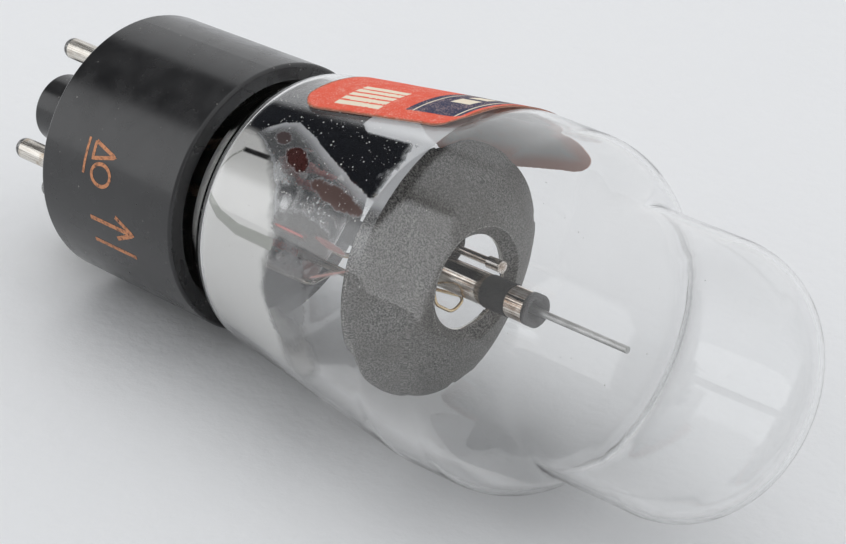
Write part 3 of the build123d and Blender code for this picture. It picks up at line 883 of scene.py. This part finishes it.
def make_press():
    rows, turns = 70, 128
    points = []
    for i in range(rows):
        x = PRESS_BOTTOM + (PRESS_TOP - PRESS_BOTTOM) * i / (rows - 1)
        pinch = smooth(PRESS_BOTTOM, PRESS_START + 0.6, x)
        half_width = STEM_RADIUS + (PRESS_HALF_WIDTH - STEM_RADIUS) * pinch
        half_depth = STEM_RADIUS + (PRESS_HALF_THICKNESS - STEM_RADIUS) * pinch
        close = math.sqrt(max(0.0, 1.0 - smooth(PRESS_TOP - 1.3, PRESS_TOP + 0.1, x) ** 2))
        power = 2.0 / (2.0 + 2.2 * pinch)
        for j in range(turns):
            t = 2 * math.pi * j / turns
            c, s = math.cos(t), math.sin(t)
            u = math.copysign(abs(c) ** power, c) * half_width * (0.6 + 0.4 * close)
            v = math.copysign(abs(s) ** power, s) * half_depth * close
            bulge = 1.0 + 0.07 * pinch * ripple(x, u, v, 1.7) + 0.03 * ripple(x, u, v, 0.6)
            along, across = polar(1.0, PRESS_ANGLE)
            points.append((x, (u * along - v * across) * bulge, (u * across + v * along) * bulge))
    faces = grid_faces(rows, turns, closed=True)
    faces.append(tuple(range(turns))[::-1])
    faces.append(tuple(range((rows - 1) * turns, rows * turns)))
    return add_mesh("press_glass", points, faces, stem_glass)


def make_bubbles():
    """Gas bubbles frozen in the press, as small hollow spheres."""
    pick = random.Random(11)
    points, faces = [], []
    for _ in range(46):
        x = pick.uniform(PRESS_START + 0.6, PRESS_TOP - 1.0)
        u = pick.gauss(0.0, 2.0)
        v = pick.uniform(-0.9, 0.9)
        size = pick.uniform(0.10, 0.32)
        along, across = polar(1.0, PRESS_ANGLE)
        centre = (x, u * along - v * across, u * across + v * along)
        start = len(points)
        rings, turns = 7, 10
        for i in range(rings):
            tilt = math.pi * (i + 0.5) / rings
            for j in range(turns):
                turn = 2 * math.pi * j / turns
                points.append((
                    centre[0] + size * 1.5 * math.cos(tilt),
                    centre[1] + size * math.sin(tilt) * math.cos(turn),
                    centre[2] + size * math.sin(tilt) * math.sin(turn),
                ))
        faces += grid_faces(rings, turns, closed=True, start=start)
        faces.append(tuple(range(start, start + turns))[::-1])
        faces.append(tuple(range(start + (rings - 1) * turns, start + rings * turns)))
    # The faces point inwards, so that a ray entering a bubble leaves the glass
    faces = [f[::-1] for f in faces]
    return add_mesh("press_bubbles", points, faces, stem_glass)


# ---------------------------------------------------------------- printing on the base, and dust on the glass
INK_HEIGHT = 0.015


def base_radius(x):
    return FOOT_RADIUS + (RIM_RADIUS - FOOT_RADIUS) * x / SHELL_LENGTH


def stroke(points, faces, route, width):
    """A printed line along (x, angle) stops on the base shell, as a thin raised strip."""
    degree = math.radians(1) * base_radius(10.0)
    start = len(points)
    stops = []
    for (x0, a0), (x1, a1) in zip(route, route[1:]):
        steps = max(2, int(math.hypot(x1 - x0, (a1 - a0) * degree) / 0.3))
        stops += [(x0 + (x1 - x0) * k / steps, a0 + (a1 - a0) * k / steps) for k in range(steps)]
    stops.append(route[-1])
    for k, (x, angle) in enumerate(stops):
        before, after = stops[max(k - 1, 0)], stops[min(k + 1, len(stops) - 1)]
        dx, da = after[0] - before[0], (after[1] - before[1]) * degree
        length = math.hypot(dx, da) or 1.0
        for side in (-0.5, 0.5):
            px = x - side * width * da / length
            pa = angle + side * width * dx / length / degree
            points.append((px, *polar(base_radius(px) + INK_HEIGHT, pa)))
    faces += grid_faces(len(stops), 2, start=start)


def make_base_marks():
    """A generic mark: a triangle and a ring over a line, then an arrow beside a bar."""
    points, faces = [], []
    stroke(points, faces, [(6.9, 152.5), (6.9, 168.0)], 0.36)
    stroke(points, faces, [(8.0, 153.0), (11.4, 156.7), (8.0, 160.4), (8.0, 153.0)], 0.42)
    turns = np.linspace(0, 2 * math.pi, 25)
    ring = [(9.7 + 1.5 * math.cos(t), 166.0 + 4.6 * math.sin(t)) for t in turns]
    stroke(points, faces, ring, 0.42)
    stroke(points, faces, [(8.2, 186.0), (15.0, 186.0)], 0.5)
    stroke(points, faces, [(12.4, 181.0), (15.2, 186.0), (12.4, 191.0)], 0.5)
    stroke(points, faces, [(8.2, 197.0), (15.0, 197.0)], 0.5)
    return add_mesh("base_marks", points, faces, base_ink, smooth_shading=False)


def make_glass_dust():
    """Tiny pale flakes lying on the bulb."""
    pick = random.Random(7)
    points, faces = [], []
    for k in range(760):
        x = pick.uniform(23.0, 86.0) if k % 2 else pick.uniform(26.0, 50.0)
        angle = pick.uniform(-20.0, 200.0) if k % 2 else pick.uniform(95.0, 145.0)
        if x > 50.0 and pick.random() < 0.75:
            continue
        size = 0.03 + 0.08 * pick.random() ** 3
        radius = glass_radius(x) + 0.012
        start = len(points)
        for corner in range(6):
            t = 2 * math.pi * (corner + 0.5 * pick.random()) / 6
            reach = size * pick.uniform(0.6, 1.2)
            turn = math.degrees(reach * math.sin(t) / radius)
            points.append((x + reach * math.cos(t), *polar(radius, angle + turn)))
        faces.append(tuple(range(start, start + 6)))
    return add_mesh("glass_dust", points, faces, dust, smooth_shading=False)


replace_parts(make_bulb(), "bulb")
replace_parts(make_film_piece(), "getter_film")
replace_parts(make_label(), "paper_label")
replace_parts(make_disc(), "cathode_disc")
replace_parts(make_press(), "stem_press")
make_sleeve_rim()
make_bubbles()
make_base_marks()
make_glass_dust()


# ---------------------------------------------------------------- floor, light and camera
BELLY_CONTACT = 60.4
FLOOR_HALF = 2500.0
FLOOR_GAP = 0.02
FOOT_SINK = 0.05      # how far the foot's rounded edge lets the sheet come nearer the axis
CAMERA_PLACE = Vector((281.77, -238.11, 160.17))
CAMERA_TARGET = Vector((43.71, 0.0, -1.12))
LENS, SENSOR_WIDTH = 154.0, 36.0


def make_floor():
    """A sheet of paper under the two places where the tube touches it: the foot's edge and the belly."""
    slope = -(BELLY_RADIUS - FOOT_RADIUS) / BELLY_CONTACT
    corners = [(-FLOOR_HALF, -FLOOR_HALF), (FLOOR_HALF, -FLOOR_HALF),
               (FLOOR_HALF, FLOOR_HALF), (-FLOOR_HALF, FLOOR_HALF)]
    points = [(x, y, -FOOT_RADIUS + FOOT_SINK + slope * x - FLOOR_GAP) for x, y in corners]
    mesh = bpy.data.meshes.new("paper_sheet")
    mesh.from_pydata([tuple(c * MM for c in p) for p in points], [], [(0, 1, 2, 3)])
    sheet = add_object("paper_sheet", mesh)
    mesh.materials.append(make_table_paper())


# Parts of the room seen from the tube: middle bearing, half width, middle height, half height and soft edge,
# all in degrees with bearings measured from +X towards +Y, then brightness. Later entries cover earlier ones.
ROOM_BRIGHTNESS = 0.82
ROOM_PATCHES = [
    (-65.0, 34.0, 8.0, 30.0, 16.0, 0.55),
    (-140.0, 24.0, 15.0, 29.0, 4.0, 1.45),
    (182.0, 21.0, 33.0, 11.0, 6.0, 0.015),
]


def inside(nodes, v, centre, half, soft):
    """1 where v is within half of centre, fading over soft, all in radians."""
    made = nodes.add("ShaderNodeMapRange", interpolation_type="SMOOTHSTEP")
    away = nodes.math("ABSOLUTE", nodes.math("SUBTRACT", v, centre))
    nodes.join(away, made, "Value")
    made.inputs["From Min"].default_value = half
    made.inputs["From Max"].default_value = half + soft
    made.inputs["To Min"].default_value = 1.0
    made.inputs["To Max"].default_value = 0.0
    return made.outputs["Result"]


def room_patch(nodes, x, y, rise, patch):
    """1 in a part of the room, fading to 0 at its soft edge. x and y are the direction looked in."""
    bearing, half_width, height, half_height, soft = (math.radians(v) for v in patch)
    c, s = math.cos(bearing), math.sin(bearing)
    ahead = nodes.math("ADD", nodes.math("MULTIPLY", x, c), nodes.math("MULTIPLY", y, s))
    aside = nodes.math("SUBTRACT", nodes.math("MULTIPLY", y, c), nodes.math("MULTIPLY", x, s))
    turn = nodes.math("ARCTAN2", aside, ahead)
    across = inside(nodes, turn, 0.0, half_width, soft)
    return nodes.math("MULTIPLY", across, inside(nodes, rise, height, half_height, soft))


def make_world():
    """A pale room with a soft window on the left, a dimmer side towards the camera and a dark corner."""
    world = bpy.data.worlds.new("pale_room")
    bpy.context.scene.world = world
    world.use_nodes = True
    nodes = Nodes(world.node_tree)
    background = nodes.tree.nodes["Background"]
    direction = nodes.add("ShaderNodeTexCoord").outputs["Generated"]
    split = nodes.add("ShaderNodeSeparateXYZ")
    nodes.join(direction, split, "Vector")
    x, y, z = (split.outputs[k] for k in "XYZ")
    rise = nodes.math("ARCSINE", z)
    level = ROOM_BRIGHTNESS
    for *patch, brightness in ROOM_PATCHES:
        within = room_patch(nodes, x, y, rise, patch)
        outside = nodes.math("SUBTRACT", 1.0, within)
        kept = nodes.math("MULTIPLY", outside, level)
        level = nodes.math("ADD", kept, nodes.math("MULTIPLY", within, brightness))
    background.inputs["Color"].default_value = (0.975, 0.985, 1.0, 1.0)
    nodes.join(level, background, "Strength")


def make_lamp(name, place, target, size, power):
    """A square soft light at a place, facing a target, both in mm, that is not itself reflected."""
    data = bpy.data.lights.new(name, "AREA")
    data.shape = "SQUARE"
    data.size = size * MM
    data.energy = power
    lamp = add_object(name, data)
    lamp.location = Vector(place) * MM
    lamp.rotation_euler = (Vector(target) - Vector(place)).to_track_quat("-Z", "Y").to_euler()
    lamp.visible_glossy = False
    lamp.visible_transmission = False


def make_camera():
    """The photograph's view: from the dome's side and a little above."""
    data = bpy.data.cameras.new("camera")
    data.lens = LENS
    data.sensor_width = SENSOR_WIDTH
    data.clip_start = 0.01
    camera = add_object("camera", data)
    camera.location = CAMERA_PLACE * MM
    camera.rotation_euler = (CAMERA_TARGET - CAMERA_PLACE).to_track_quat("-Z", "Y").to_euler()
    bpy.context.scene.camera = camera


make_floor()
make_world()
make_lamp("overhead", (-700.0, 300.0, 1100.0), (40.0, 0.0, 0.0), 900.0, 4.2)
make_camera()
bpy.context.scene.view_settings.view_transform = "Standard"
